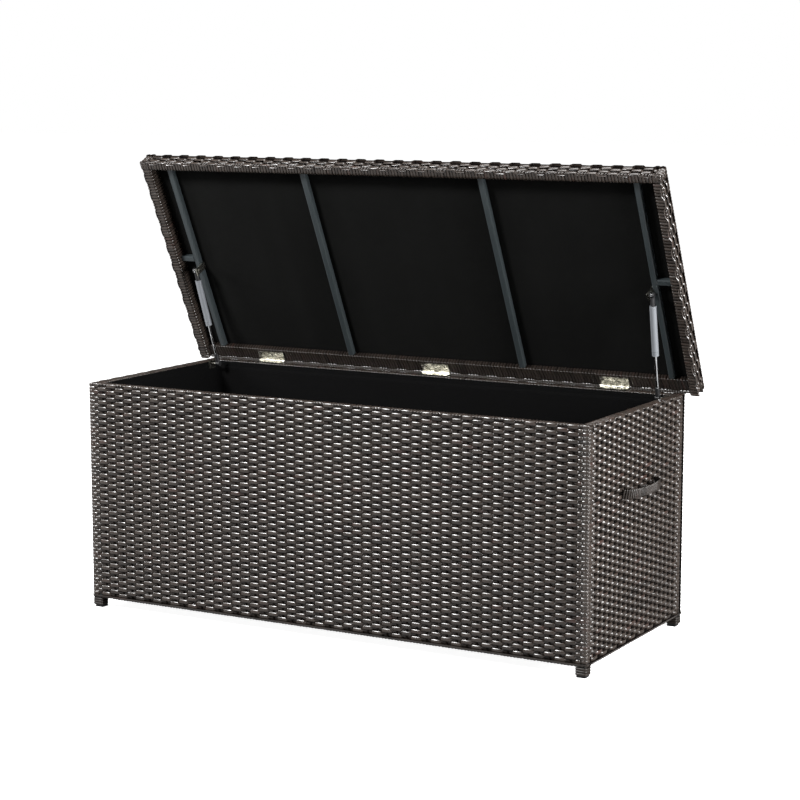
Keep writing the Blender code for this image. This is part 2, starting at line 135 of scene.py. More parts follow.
CORD_PITCH = 0.0060
CORD_SIDES = 10
CORD_RISE = 0.35  # from a ring's edges to its crown, in cord radii
CORD_SLANT = 0.1  # in pitches
LID_CORD = 0.0024  # radius
LID_CORD_IN = 0.0007  # from the rail's back face to the cord's centre
LID_CORD_UNDER = 0.0001  # from its lower face to the cord's centre
BOX_CORD = 0.0014  # radius
BOX_CORD_BEHIND = 0.0004  # from the back face to the cord's centre

# Handles: a bowed band in plan, with a flat section
HANDLE_PITCH = 0.0057
HANDLE_ROUNDNESS = 2.3  # exponent of the bow. 2 is an ellipse.
HANDLE_THICK = 0.0050
HANDLE_RISE = 0.0030
HANDLE_SLANT = 0.30  # of a wrap across the band, in pitches
BAND_POINTS = 24
BAND_EXPONENT = 0.45  # 1 is an ellipse. Less gives a flatter section.
BAND_CORNER = 0.0016
BOW_POINTS = 400

# Fabric
BAG_OUT_X = 0.0012  # how far the bag's end walls stand outside the CAD's
BAG_IN_Y = 0.0002  # how far its long walls stand inside the CAD's
BAG_UNDER_RAIL = 0.0030  # from the top rails' upper face to the bag's upper edge
BAG_LIFT = 0.0006
BAG_CORNER = 0.016
BAG_STEP = 0.010
BAG_BEND = 0.020  # between a wall and the floor
BAG_HEM = 0.014
HEM_THICK = 0.0006
HEM_STEP = 0.0008
WALL_ROWS = 44
FLOOR_RINGS = 34
SLACK_HEIGHT = 0.12  # below the hem, over which the folds grow to their full depth
FOLD_DEPTH = 0.0042
CREASE_DEPTH = 0.0040
CREASE_HEIGHT = 0.16  # above the floor, up to which there are creases
RIPPLE_DEPTH = 0.0035
LINER_SAG = 0.0022
LINER_PULL = 0.0016
LINER_LIFT = 0.0003

# Metal fittings
SCREW_RADIUS = 0.0031
SCREW_HEIGHT = 0.0006
SCREW_DOME = ((0.0, 1.0), (0.35, 0.97), (0.7, 0.72), (0.93, 0.35), (1.0, 0.0))  # of radius and height
SCREW_SEAT = 0.0002  # how far its underside is sunk
SCREW_SPACING = 0.025
SCREW_IN = 0.010  # from a leaf's free edge to the middle screw
SCREW_STAGGER = 0.003  # the outer screws lie this much nearer the edge
RECESS_LENGTH = 1.15  # of the cross, in screw radii
RECESS_WIDTH = 0.0008
RECESS_THICK = 0.0003
RECESS_DEPTH = 0.0001
LEAF_FACE = 0.0011  # from the hinge axis to a leaf's free face
LOWER_BALL_BEHIND = 0.460  # lower ball, behind the front face
LOWER_BALL_Z = 0.516
BALL_RADIUS = 0.004
NECK = ((0.0022, 0.0048), (0.0022, 0.0096))  # (radius, height) from the ball's centre
CRIMP_UP = 0.0105  # from the cylinder's lower end to its crimped ring
CRIMP = ((0.0070, -0.0016), (0.0077, -0.0012), (0.00785, -0.0005), (0.0072, 0.0),
         (0.00785, 0.0005), (0.0077, 0.0012), (0.0070, 0.0016))
SEAL_UP = 0.0004
SEAL = ((0.0034, -0.0004), (0.0034, 0.0012), (0.0056, 0.0012), (0.0066, 0.0006), (0.0066, -0.0004))
CLIP_RADIUS = 0.0066
CLIP_WIDTH = 0.0030
CLIP_INNER = -0.0002  # the clip's two faces, from its radius
CLIP_OUTER = 0.0003
CLIP_REACH = 1.9  # half of the angle that it hugs
CLIP_FLARE_FROM = 1.6  # angle from which its ends flare
CLIP_FLARE = 0.0005

# Studio
CAMERA_PLACE = (2.4024, -4.1959, 1.2249)
CAMERA_DOWN = 8.60  # degrees below level
CAMERA_ROUND = 29.39  # degrees round from the front
CAMERA_LENS = 97.97
AMBIENT = 0.08  # the white surroundings, as a light
FLOOR_WHITE = (0.88, 0.88, 0.88)  # the floor, as seen
FLOOR_BOUNCE = (0.25, 0.25, 0.25)  # the floor, as a reflector
FLOOR_GLOW = 0.95
FLOOR_SIZE = 30.0
LIGHTS = {  # place, target, width, height and power
    "left_softbox": ((-1.75, -2.6, 2.7), (0, 0, 0.3), 0.95, 0.7, 225),
    "left_side_softbox": ((-3.4, -1.3, 1.7), (-0.3, 0, 0.4), 0.8, 0.8, 60),
    "right_softbox": ((3.5, -0.5, 1.3), (0.6, 0, 0.3), 1.2, 1.6, 265),
    "top_softbox": ((0.2, 0.2, 3.6), (0, 0, 0.4), 2.6, 2.0, 120),
}


def joint_place(name):
    return Vector(next(j["pos_m"] for j in frame["joints"] if j["name"] == name))


HINGE = joint_place("lid_hinge")
LID = Matrix.Translation(HINGE) @ Matrix.Rotation(-OPEN_ANGLE, 4, "X")
BOX = Matrix.Identity(4)


def corners(*nodes, local=BOX):
    """Lowest and highest corners of CAD nodes in a frame of their own."""
    back = local.inverted()
    points = np.array([back @ v.co for name in nodes for v in frame["nodes"][name].data.vertices])
    return Vector(points.min(0)), Vector(points.max(0))


def to_scene(local, places):
    """Points in a frame of their own, in the scene."""
    matrix = np.array(local)
    return places @ matrix[:3, :3].T + matrix[:3, 3]


def axes(along, up, out, origin):
    """A matrix from (along, up, outward) to the scene."""
    matrix = Matrix((Vector(along), Vector(up), Vector(out))).transposed().to_4x4()
    matrix.translation = Vector(origin)
    return matrix


def add_object(name, mesh):
    piece = bpy.data.objects.new(name, mesh)
    bpy.context.scene.collection.objects.link(piece)
    return piece


def from_bmesh(name, edit, material):
    """A new object from an edited mesh, which is then freed."""
    mesh = bpy.data.meshes.new(name)
    edit.to_mesh(mesh)
    edit.free()
    mesh.materials.append(material)
    return add_object(name, mesh)


def join(first, *others):
    with bpy.context.temp_override(active_object=first, selected_editable_objects=[first, *others]):
        bpy.ops.object.join()
    return first


# Materials

def tint(colour, factor):
    return tuple(factor * c for c in colour)


class Nodes:
    """A small helper that builds one material's node tree."""

    def __init__(self, name):
        self.material = bpy.data.materials.new(name)
        self.material.use_nodes = True
        self.tree = self.material.node_tree
        self.shader = self.tree.nodes["Principled BSDF"]

    def feed(self, node, inputs):
        """Links sockets and sets plain values."""
        for key, value in inputs.items():
            if isinstance(value, bpy.types.NodeSocket):
                self.tree.links.new(value, node.inputs[key])
            else:
                node.inputs[key].default_value = value

    def set(self, socket, value):
        self.feed(self.shader, {socket: value})

    def add(self, kind, inputs=None, **settings):
        node = self.tree.nodes.new(kind)
        for key, value in settings.items():
            setattr(node, key, value)
        self.feed(node, inputs or {})
        return node

    def coordinates(self):
        return self.add("ShaderNodeTexCoord").outputs["Object"]

    def noise(self, vector, scale, detail=3.0, roughness=0.5):
        inputs = {"Vector": vector, "Scale": scale, "Detail": detail, "Roughness": roughness}
        return self.add("ShaderNodeTexNoise", inputs).outputs["Fac"]

    def bands(self, vector, scale, way, distortion=0.0):
        inputs = {"Vector": vector, "Scale": scale, "Distortion": distortion}
        return self.add("ShaderNodeTexWave", inputs, wave_type="BANDS", bands_direction=way).outputs["Fac"]

    def stretch(self, vector, scale):
        return self.add("ShaderNodeMapping", {"Vector": vector, "Scale": scale}).outputs["Vector"]

    def ramp(self, factor, *stops):
        node = self.add("ShaderNodeValToRGB", {"Fac": factor})
        elements = node.color_ramp.elements
        while len(elements) < len(stops):
            elements.new(0.5)
        for element, (position, colour) in zip(elements, stops):
            element.position = position
            element.color = (*colour, 1.0)
        return node.outputs["Color"]

    def remap(self, value, low, high):
        """The middle of a noise's range, spread from low to high."""
        inputs = {"Value": value, "From Min": 0.3, "From Max": 0.7, "To Min": low, "To Max": high}
        return self.add("ShaderNodeMapRange", inputs).outputs["Result"]

    def mix(self, factor, first, second, blend="MIX"):
        inputs = {0: factor, 6: first, 7: second}
        return self.add("ShaderNodeMix", inputs, data_type="RGBA", blend_type=blend).outputs[2]

    def add_values(self, *pairs):
        """A weighted sum of (value, weight) pairs."""
        total = None
        for value, weight in pairs:
            part = self.add("ShaderNodeMath", {0: value, 1: weight}, operation="MULTIPLY").outputs[0]
            if total is None:
                total = part
            else:
                total = self.add("ShaderNodeMath", {0: total, 1: part}, operation="ADD").outputs[0]
        return total

    def bump(self, height, strength, distance):
        inputs = {"Height": height, "Strength": strength, "Distance": distance}
        self.set("Normal", self.add("ShaderNodeBump", inputs).outputs["Normal"])


def rattan_material(name, light, roughness, specular):
    """Flat extruded strands: tone differs between strands, with fine streaks along each one."""
    n = Nodes(name)
    grain = n.add("ShaderNodeAttribute", attribute_name="grain").outputs["Vector"]
    tone = n.noise(n.stretch(grain, (9, 0.2, 7)), 1.0, 2.0)
    streak = n.noise(n.stretch(grain, (14, 5.5, 30)), 1.0, 4.0, 0.6)
    grey = tint((0.034, 0.0265, 0.0220), light)
    brown = tint((0.040, 0.0235, 0.0190), light)
    dark = tint((0.019, 0.0148, 0.0125), light)
    base = n.ramp(tone, (0.36, dark), (0.50, grey), (0.60, grey), (0.72, brown))
    lines = n.ramp(streak, (0.30, (0.72, 0.71, 0.70)), (0.70, (1.25, 1.22, 1.20)))
    n.set("Base Color", n.mix(1.0, base, lines, "MULTIPLY"))
    n.set("Roughness", n.remap(streak, roughness - 0.06, roughness + 0.06))
    n.set("Specular IOR Level", specular)
    groove = n.bands(grain, 1.1, "Y")
    n.bump(n.add_values((streak, 0.7), (groove, 0.5)), 0.35, 0.0003)
    return n.material


def fabric_material(name, colour, weave_scale, sheen):
    """Plain-woven polyester: crossed threads, fluff and a soft sheen."""
    n = Nodes(name)
    place = n.coordinates()
    threads = [n.bands(place, weave_scale, way, 0.6) for way in "XYZ"]
    cloud = n.noise(place, 7.0, 3.0)
    fluff = n.noise(place, 900.0, 2.0)
    tone = n.add_values((cloud, 0.5), (fluff, 0.5))
    n.set("Base Color", n.ramp(tone, (0.38, tint(colour, 0.75)), (0.62, tint(colour, 1.35))))
    n.set("Roughness", n.remap(fluff, 0.85, 0.98))
    n.set("Sheen Weight", sheen)
    n.set("Sheen Roughness", 0.6)
    n.set("Specular IOR Level", 0.08)
    height = n.add_values((threads[0], 0.4), (threads[1], 0.4), (threads[2], 0.4), (fluff, 0.5))
    n.bump(height, 0.4, 0.0004)
    return n.material


def paint_material(name, colour, metallic, roughness):
    """Powder coat: orange peel, and a paler tone where corners are rubbed."""
    n = Nodes(name)
    place = n.coordinates()
    peel = n.noise(place, 700.0, 2.0)
    cloud = n.noise(place, 14.0, 3.0)
    pointy = n.add("ShaderNodeNewGeometry").outputs["Pointiness"]
    corner = {"Value": pointy, "From Min": 0.52, "From Max": 0.62}
    rubbed = n.add("ShaderNodeMapRange", corner).outputs["Result"]
    paint = n.ramp(cloud, (0.35, tint(colour, 0.8)), (0.65, tint(colour, 1.25)))
    n.set("Base Color", n.mix(rubbed, paint, (*tint(colour, 1.8), 1.0)))
    n.set("Metallic", metallic)
    n.set("Roughness", n.remap(cloud, roughness - 0.05, roughness + 0.07))
    n.bump(peel, 0.12, 0.0003)
    return n.material


def metal_material(name, low, high, roughness, scratch_scale, bump=0.1):
    """Bare or plated metal: tone patches, directional scratches and uneven gloss."""
    n = Nodes(name)
    place = n.coordinates()
    patches = n.noise(place, 120.0, 4.0)
    scratches = n.noise(n.stretch(place, scratch_scale), 1.0, 3.0, 0.7)
    tone = n.add_values((patches, 0.6), (scratches, 0.4))
    n.set("Base Color", n.ramp(tone, (0.40, low), (0.60, high)))
    n.set("Metallic", 1.0)
    n.set("Roughness", n.remap(scratches, roughness * 0.75, roughness * 1.35))
    n.bump(scratches, bump, 0.0002)
    return n.material


def plastic_material(name, colour, roughness, specular=0.5):
    """Moulded plastic: spark-eroded grain and slight tone changes."""
    n = Nodes(name)
    place = n.coordinates()
    grain = n.noise(place, 1500.0, 2.0)
    cloud = n.noise(place, 30.0, 3.0)
    n.set("Base Color", n.ramp(cloud, (0.35, tint(colour, 0.75)), (0.65, tint(colour, 1.4))))
    n.set("Roughness", n.remap(grain, roughness - 0.06, roughness + 0.08))
    n.set("Specular IOR Level", specular)
    n.bump(grain, 0.25, 0.0002)
    return n.material


def floor_material():
    """Pale studio floor. It looks white, and throws little light up onto the object."""
    n = Nodes("floor_white")
    seen = n.add("ShaderNodeLightPath").outputs["Is Camera Ray"]
    glow = {"Value": seen, "To Min": 0.0, "To Max": FLOOR_GLOW}
    n.set("Base Color", n.mix(seen, (*FLOOR_BOUNCE, 1.0), (*FLOOR_WHITE, 1.0)))
    n.set("Roughness", 0.8)
    n.set("Specular IOR Level", 0.05)
    n.set("Emission Color", (1.0, 1.0, 1.0, 1.0))
    n.set("Emission Strength", n.add("ShaderNodeMapRange", glow).outputs["Result"])
    return n.material


def panel_material():
    """The floor panel: brown moulded board with a woven grain."""
    n = Nodes("floor_board")
    place = n.coordinates()
    rows = n.bands(place, 42.0, "X", 0.4)
    columns = n.bands(place, 42.0, "Y", 0.4)
    cloud = n.noise(place, 20.0, 3.0)
    n.set("Base Color", n.ramp(cloud, (0.35, (0.022, 0.018, 0.016)), (0.65, (0.038, 0.031, 0.028))))
    n.set("Roughness", n.remap(cloud, 0.45, 0.62))
    n.bump(n.add_values((rows, 0.5), (columns, 0.5)), 0.5, 0.0008)
    return n.material


RATTAN = rattan_material("rattan_strand", 1.0, 0.28, 0.65)
# A darker, duller copy of the strand: painted shade for strands deep in the weave, the stakes and strand
# edges.
RATTAN_PAINTED_SHADE = rattan_material("rattan_painted_shade", 0.22, 0.75, 0.05)
# A duller copy of the strand whose darker tone is painted shade, for the rings, cords and the lid's back
# rail.
RATTAN_DULL_PAINTED_SHADE = rattan_material("rattan_dull_painted_shade", 0.60, 0.36, 0.40)
# Near-black, as painted shade behind the weave.
SHADE_SHEET = plastic_material("weave_backing", (0.005, 0.004, 0.004), 0.8, 0.03)
# Black fabric, made darker than the lid's as painted shade for the box's inside.
BAG_FABRIC_SHADED = fabric_material("bag_fabric", (0.0005, 0.0005, 0.0006), 1400.0, 0.006)
LID_FABRIC = fabric_material("lid_fabric", (0.0018, 0.0019, 0.0017), 1300.0, 0.012)
FRAME_PAINT = paint_material("frame_paint", (0.022, 0.027, 0.029), 0.30, 0.36)
ZINC = metal_material("zinc_plate", (0.17, 0.165, 0.135), (0.78, 0.76, 0.68), 0.24, (60, 900, 900), 0.35)
SILVER = paint_material("silver_enamel", (0.118, 0.125, 0.135), 0.30, 0.38)
CHROME = metal_material("chrome_rod", (0.72, 0.73, 0.75), (0.85, 0.86, 0.88), 0.12, (900, 900, 30), 0.05)
FLOOR_BOARD = panel_material()
# Near-black, as painted shade standing for the screws' cross recesses.
RECESS_SHADE = plastic_material("screw_recess", (0.010, 0.009, 0.008), 0.6)
BLACK_PLASTIC = plastic_material("black_plastic", (0.012, 0.012, 0.013), 0.42)


# Strand meshes

def mesh_from_grids(name, places, grain, material, closed=False, depth=0.0):
    """One mesh from ribbons. places is (ribbons, along, across, 3), and grain is the same shape.

    depth is 0 where a strand is in front and 1 where it is deep between others. Faces that lie deep take the
    second, darker rattan, which is painted shade.
    """
    ribbons, along, across, _ = places.shape
    first = np.arange(ribbons * along * across).reshape(ribbons, along, across)
    if closed:
        first = np.concatenate([first, first[:, :1]], axis=1)
    a, b = first[:, :-1, :-1], first[:, :-1, 1:]
    c, d = first[:, 1:, 1:], first[:, 1:, :-1]
    quads = np.stack([a, b, c, d], axis=-1).reshape(-1, 4)
    mesh = bpy.data.meshes.new(name)
    mesh.vertices.add(ribbons * along * across)
    mesh.vertices.foreach_set("co", places.reshape(-1).astype(np.float32))
    mesh.loops.add(quads.size)
    mesh.loops.foreach_set("vertex_index", quads.reshape(-1).astype(np.int32))
    mesh.polygons.add(len(quads))
    mesh.polygons.foreach_set("loop_start", np.arange(0, quads.size, 4, dtype=np.int32))
    mesh.update(calc_edges=True)
    mesh.polygons.foreach_set("use_smooth", np.ones(len(quads), bool))
    attribute = mesh.attributes.new("grain", "FLOAT_VECTOR", "POINT")
    attribute.data.foreach_set("vector", grain.reshape(-1).astype(np.float32))
    mesh.materials.append(material)
    mesh.materials.append(RATTAN_PAINTED_SHADE)
    # Painted shade: faces that lie deep take the darker rattan.
    in_painted_shade = np.broadcast_to(depth, places.shape[:3]).reshape(-1)[quads].min(axis=1) > PAINTED_SHADE_FROM
    mesh.polygons.foreach_set("material_index", in_painted_shade.astype(np.int32))
    mesh.validate()
    return add_object(name, mesh)


def ribbons(centre, out, side, width, rise, rng, local, twist=0.0):
    """Ribbon points and grain from paths of shape (ribbons, along, 3). twist rolls each path point."""
    roll = np.asarray(twist)[..., None]
    turned_side = np.cos(roll) * side + np.sin(roll) * out
    turned_out = np.cos(roll) * out - np.sin(roll) * side
    across = PROFILE_ACROSS[None, None, :, None] * width
    lift = PROFILE_RISE[None, None, :, None] * rise
    places = centre[:, :, None] + turned_side[:, :, None] * across + turned_out[:, :, None] * lift
    steps = np.linalg.norm(np.diff(centre, axis=1), axis=2)
    run = np.concatenate([np.zeros((len(centre), 1)), np.cumsum(steps, axis=1)], axis=1)
    tone = rng.random(len(centre)) * 40.0
    grain = np.empty(places.shape)
    grain[..., 0] = (run + tone[:, None])[:, :, None]
    grain[..., 1] = PROFILE_ACROSS[None, None, :]
    grain[..., 2] = tone[:, None, None]
    return to_scene(local, places), grain


def random_along(rng, rows, points, knots, size):
    """A smooth random value along each row, with a new value at each knot."""
    values = rng.normal(0.0, size, (rows, knots))
    at = np.linspace(0, knots - 1, points)
    return np.array([np.interp(at, np.arange(knots), row) for row in values])


def wave(phase, squareness):
    """A wave between 0, in front, and 1, behind, with broad flat crests and steep sides."""
    c = np.clip(squareness * np.cos(math.pi * phase), -1, 1)
    return 0.5 - 0.5 * np.sin(0.5 * math.pi * c)


# Woven faces

def column_layout(length):
    """Places and phases of whole columns, with one narrow column beside each edge tube."""
    margin = EDGE_TUBE + EDGE_COLUMN
    columns = round((length - 2 * margin) / COLUMN_PITCH)
    known_places = [0.0, EDGE_TUBE, margin, length - margin, length - EDGE_TUBE, length]
    known_phases = [-1.0, -0.5, 0.5, columns + 0.5, columns + 1.5, columns + 2.0]
    return known_places, known_phases, columns


def strand_stations(length, layout, steps, bend, tail):
    """Distances along a strand at which its points lie: bent ends, edge tubes and columns."""
    known_places, known_phases, columns = layout
    wanted = (np.arange(columns + 2)[:, None] + np.array(steps)).reshape(-1)
    tube = np.array(TUBE_POINTS) * EDGE_TUBE
    woven = np.interp(np.append(wanted, columns + 1.5), known_phases, known_places)
    flat = np.concatenate([tube, woven, length - tube[::-1]])
    arc = tail + bend * math.pi / 2
    turn = np.linspace(0, arc, BEND_POINTS)
    flat_length = length - 2 * bend
    return np.concatenate([turn, arc + flat - bend, arc + flat_length + turn])


def fold(s, length, bend, tail):
    """Place, drop and angle at distances s along a strip whose two ends turn back round an arc."""
    arc = bend * math.pi / 2
    start = tail + arc
    end = start + length - 2 * bend
    before = np.clip(start - s, 0, arc) / bend
    after = np.clip(s - end, 0, arc) / bend
    place = bend * (1 - np.sin(before) + np.sin(after)) + np.clip(s - start, 0, end - start)
    drop = bend * (2 - np.cos(before) - np.cos(after)) + np.clip(tail - s, 0, None)
    drop = drop + np.clip(s - end - arc, 0, None)
    return place, drop, after - before


def woven_depth(place, phase, length, rows, squareness, hem):
    """How far each strand lies behind the face: a wave that flattens over the grooved edge tubes."""
    from_edge = np.minimum(place, length - place)
    on_tube = np.clip((EDGE_TUBE - from_edge) / (TUBE_FADE * EDGE_TUBE), 0, 1)
    over_post = from_edge < EDGE_TUBE + EDGE_COLUMN
    swing = np.where(over_post, POST_SWING * WAVE_DEPTH, WAVE_DEPTH) * (1 - on_tube)
    woven = np.ones(rows)
    if hem:
        woven[0] = 0.0
    parity = np.arange(rows) % 2
    waves = wave(phase + parity[:, None], squareness)
    groove = TUBE_GROOVE * (0.5 - 0.5 * np.cos(4 * math.pi * np.clip(from_edge / EDGE_TUBE, 0, 1)))
    return waves * swing * woven[:, None] + CREST_DEPTH + groove


def strand_directions(angle, lean):
    """Outward and sideways directions, from the angle at each point and the lean of each row."""
    out = np.empty((len(lean), len(angle), 3))
    out[..., 0] = np.sin(angle)
    out[..., 1] = np.sin(lean)[:, None]
    out[..., 2] = np.cos(angle) * np.cos(lean)[:, None]
    out = out / np.linalg.norm(out, axis=2, keepdims=True)
    side = np.zeros_like(out)
    side[..., 1] = np.cos(lean)[:, None]
    side[..., 2] = -np.sin(lean)[:, None]
    return out, side


def woven_face(name, local, length, height, rng, edge=0.0, bend=FACE_BEND, tail=FACE_TAIL, hem=False,
               shaded=False, width=STRAND_WIDTH, squareness=LONG_SQUARENESS, steps=LONG_STEPS,
               unevenness=1.0):
    """Strands in rows over and under upright stakes, on a face that spans length by height.

    local maps (along, up, outward) to the scene. edge is the bend radius of the face's upper edge.
    A hem is a lowest strand that is not woven, and turns under the face. On a shaded face, strands take
    the darker rattan, painted shade, where they pass behind the stakes.
    """
    layout = column_layout(length)
    known_places, known_phases, columns = layout
    place, drop, angle = fold(strand_stations(length, layout, steps, bend, tail), length, bend, tail)
    phase = np.interp(place, known_places, known_phases)
    points = len(place)
    rows = round(height / ROW_PITCH)
    rise = (height - TOP_MARGIN) / rows
    up = (np.arange(rows) + 0.5) * rise + rng.normal(0, ROW_SHIFT, rows)
    lean = np.clip((up - height + edge) / edge, 0, 1) * (math.pi / 2) if edge else np.zeros(rows)
    level = np.where(lean > 0, height - edge + edge * np.sin(lean), up)
    sink = edge * (1 - np.cos(lean))
    depth = woven_depth(place, phase, length, rows, squareness, hem)
    depth = depth + np.abs(random_along(rng, rows, points, columns, ROW_SINK))
    depth = depth + EDGE_CLEARANCE * np.sin(lean)[:, None]
    wander = random_along(rng, rows, points, columns, ROW_WANDER)
    out, side = strand_directions(angle, lean)
    centre = np.empty((rows, points, 3))
    centre[..., 0] = place
    centre[..., 1] = level[:, None] + wander
    centre[..., 2] = -drop - sink[:, None]
    centre = centre - out * depth[..., None]
    twist = random_along(rng, rows, points, columns, ROW_ROLL * unevenness)
    twist[0] += HEM_ROLL if hem else 0.0
    twist[lean > 0] *= EDGE_STEADINESS
    part = ribbons(centre, out, side, width, STRAND_RISE, rng, local, twist)
    # Painted shade: on a shaded face, strands that lie deep take the darker rattan.
    deep = np.clip((depth - CREST_DEPTH) / WAVE_DEPTH, 0, 1)[:, :, None] if shaded else 0.0
    strands = mesh_from_grids(name, *part, RATTAN, depth=deep)
    stakes = face_stakes(name, local, height - edge, rise, rows, layout, squareness, rng)
    # A near-black sheet behind the weave, as painted shade.
    sheet = shade_sheet(name + "_backing", local, length, height - edge)
    return strands, join(stakes, sheet)


def face_stakes(name, local, top, rise, rows, layout, squareness, rng):
    """Upright stakes, which sway a little between the strands in front and behind."""
    known_places, known_phases, columns = layout
    climb = np.linspace(0.5 * rise, top - 0.5 * rise, 2 * rows + 1)
    row_phase = climb / rise - 0.5
    behind = wave(row_phase + np.arange(columns)[:, None], squareness)
    centre = np.zeros((columns, len(climb), 3))
    centre[..., 0] = np.interp(np.arange(columns) + 1.0, known_phases, known_places)[:, None]
    centre[..., 1] = climb
    centre[..., 2] = -(CREST_DEPTH + WAVE_DEPTH * (STAKE_DEPTH + STAKE_SWAY * behind))
    out = np.broadcast_to([0.0, 0.0, 1.0], centre.shape)
    side = np.broadcast_to([-1.0, 0.0, 0.0], centre.shape)
    part = ribbons(centre, out, side, STAKE_WIDTH, STRAND_RISE, rng, local)
    # The stakes take the darker rattan all over, as painted shade, since they lie behind the strands.
    return mesh_from_grids(name + "_stakes", *part, RATTAN, depth=1.0)


def shade_sheet(name, local, length, height):
    """A near-black sheet that closes the view between the strands, as painted shade."""
    low, right, top = SHADE_SHEET_MARGIN, length - SHADE_SHEET_MARGIN, height - SHADE_SHEET_MARGIN
    depth = CREST_DEPTH + WAVE_DEPTH + SHADE_SHEET_BEHIND
    edit = bmesh.new()
    outline = ((low, low), (right, low), (right, top), (low, top))
    edit.faces.new([edit.verts.new(local @ Vector((x, y, -depth))) for x, y in outline])
    return from_bmesh(name, edit, SHADE_SHEET)


# Wrapped rails

def rounded_path(points, radii):
    """Points and left-hand normals along a 2D path of straight runs with rounded corners."""
    knots = [np.array(p, float) for p in points]
    places, normals = [], []

    def straight(start, end):
        count = max(1, math.ceil(np.linalg.norm(end - start) / PATH_STEP))
        direction = (end - start) / np.linalg.norm(end - start)
        for i in range(count):
            places.append(start + (end - start) * i / count)
            normals.append(np.array([-direction[1], direction[0]]))

    previous = knots[0]
    for index, radius in enumerate(radii, start=1):
        here = knots[index]
        arrive = (here - knots[index - 1]) / np.linalg.norm(here - knots[index - 1])
        leave = (knots[index + 1] - here) / np.linalg.norm(knots[index + 1] - here)
        begin, finish = here - arrive * radius, here + leave * radius
        straight(previous, begin)
        way = math.copysign(1, arrive[0] * leave[1] - arrive[1] * leave[0])
        centre = begin + way * radius * np.array([-arrive[1], arrive[0]])
        arm = begin - centre
        for i in range(ARC_STEPS):
            angle = way * math.pi / 2 * i / ARC_STEPS
            rotated = np.array([arm[0] * math.cos(angle) - arm[1] * math.sin(angle),
                                arm[0] * math.sin(angle) + arm[1] * math.cos(angle)])
            places.append(centre + rotated)
            normals.append(-way * rotated / radius)
        previous = finish
    straight(previous, knots[-1])
    places.append(knots[-1])
    normals.append(normals[-1])
    return np.array(places), np.array(normals)


def paths_round(along, outline, normals):
    """Paths round an outline across a rail, at distances along it of shape (paths, outline points)."""
    centre = np.zeros((*along.shape, 3))
    centre[..., 0] = along
    centre[..., 1:] = outline
    out = np.zeros_like(centre)
    out[..., 1:] = normals
    return centre, out, np.broadcast_to([1.0, 0.0, 0.0], centre.shape)


def wrapped_rail(name, local, length, outline, radii, rng, slant=0.0, material=RATTAN):
    """Strands side by side along a rail, each bent round its outline.

    local maps (along, first, second) to the scene, and the outline is in the last two.
    """
    places, normals = rounded_path(outline, radii)
    count = round(length / WRAP_PITCH)
    pitch = length / count
    along = (np.arange(count) + 0.5) * pitch + rng.normal(0, WRAP_SHIFT, count)
    reach = np.linspace(-0.5, 0.5, len(places))
    margin = 0.001
    slanted = np.clip(along[:, None] + slant * reach, margin, length - margin)
    centre, out, side = paths_round(slanted, places, normals)
    centre = centre - out * (CREST_DEPTH + np.abs(rng.normal(0, WRAP_SINK, count)))[:, None, None]
    twist = random_along(rng, count, len(places), 3, WRAP_ROLL)
    part = ribbons(centre, out, side, pitch * WRAP_LAP, WRAP_RISE, rng, local, twist)
    # Each strand's edge strips take the darker rattan, as painted shade between strands.
    return mesh_from_grids(name, *part, material, depth=EDGE_SHADE_DEPTH)


def finish_piece(piece, body, slot, *nodes):
    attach(piece, body)
    if nodes:
        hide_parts(*nodes)


def finish_rings(name, part, body, *nodes):
    """Closed rings of the duller strand, side by side, as one piece. Its darker tone, and the darker rattan
    on each ring's edges, are painted shade.
    """
    piece = mesh_from_grids(name, *part, RATTAN_DULL_PAINTED_SHADE, closed=True, depth=EDGE_SHADE_DEPTH)
    finish_piece(piece, body, "rattan", *nodes)
    return piece


def finish_face(face, body, *nodes):
    """A woven face is two pieces: its strands, which stand for the CAD's skin, and its stakes, joined with
    the near-black sheet of painted shade behind them.
    """
    strands, stakes = face
    finish_piece(strands, body, "rattan", *nodes)
    finish_piece(stakes, body, "rattan")


def side_axes(low, high, sign, start):
    """Axes of a left or right face, whose strands begin a little way in from the corner."""
    y = low.y + start if sign > 0 else high.y - start
    return axes((0, sign, 0), (0, 0, 1), (sign, 0, 0), (sign * (high.x - low.x) / 2, y, low.z))


# The box

def box_faces(rng):
    low, high = corners(*BOX_SKINS)
    length, depth, height = high.x - low.x, high.y - low.y, high.z - low.z
    for place, origin in (("front", low), ("back", (high.x, high.y, low.z))):
        way = ENDS[place]
        local = axes((-way, 0, 0), (0, 0, 1), (0, way, 0), origin)
        face = woven_face(f"weave_{place}", local, length, height, rng, edge=BOX_EDGE, hem=True)
        finish_face(face, "box", f"woven_{place}")
    for side, sign in SIDES.items():
        local = side_axes(low, high, sign, SIDE_START)
        # The short faces take painted shade where their strands lie deep.
        face = woven_face(f"weave_{side}", local, depth - 2 * SIDE_START, height, rng, edge=BOX_EDGE,
                          hem=True, shaded=True, unevenness=SHORT_UNEVENNESS, **SHORT_FACE)
        finish_face(face, "box", f"woven_{side}")


